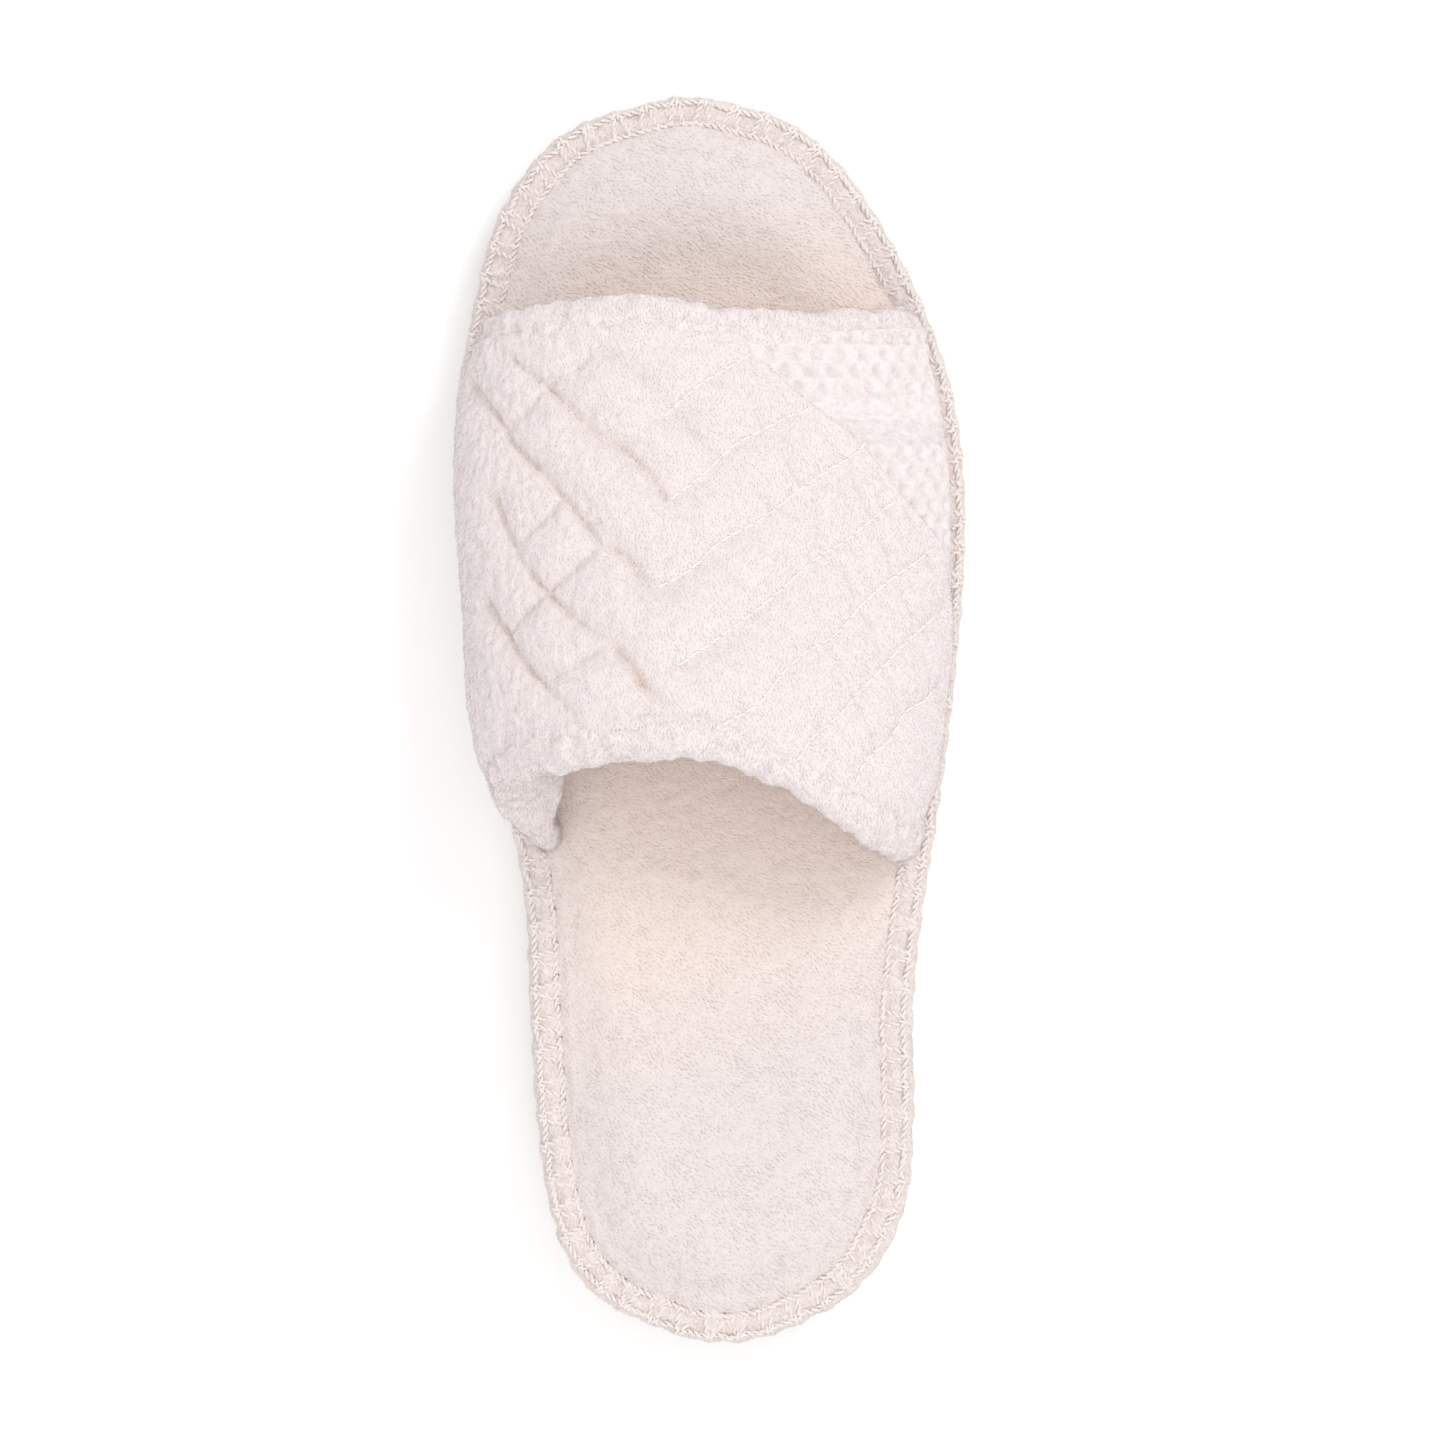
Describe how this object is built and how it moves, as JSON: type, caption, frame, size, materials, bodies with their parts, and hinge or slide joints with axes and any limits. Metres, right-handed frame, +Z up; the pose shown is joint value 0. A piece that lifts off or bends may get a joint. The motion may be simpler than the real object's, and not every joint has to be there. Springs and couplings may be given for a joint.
{
  "type": "scuff slipper",
  "caption": "Open-toe, open-back plush scuff slipper for the right foot: quilted arched upper with rolled hems on a padded sole with a blanket-stitched edge.",
  "frame": {"origin": "centre of the slipper's footprint, on the floor that it stands on", "axes": "+Y from the heel towards the toe, +X to the outer side of the right foot, +Z up"},
  "size_m": [0.1096, 0.265, 0.0658],
  "materials": {
    "outsole": "moulded soft foam rubber, off-white, matte",
    "midsole_foam": "cushion foam, matte",
    "sock_plush": "short warm-white plush nap over padding",
    "binding_fabric": "plain warm-white fabric strip, blanket-stitched with cotton yarn",
    "lining_fleece": "short cream fleece",
    "quilted_plush": "soft white plush, diamond quilted",
    "waffle_knit": "white waffle and rib knit",
    "hem_plush": "smooth white plush"
  },
  "bodies": {
    "root": {"outsole": "outsole", "midsole": "midsole_foam", "insole": "sock_plush", "edge_binding": "binding_fabric", "upper": "lining_fleece", "quilted_panel": "quilted_plush", "waffle_panel": "waffle_knit", "toe_hem": "hem_plush", "collar_hem": "hem_plush"}
  },
  "joints": []
}
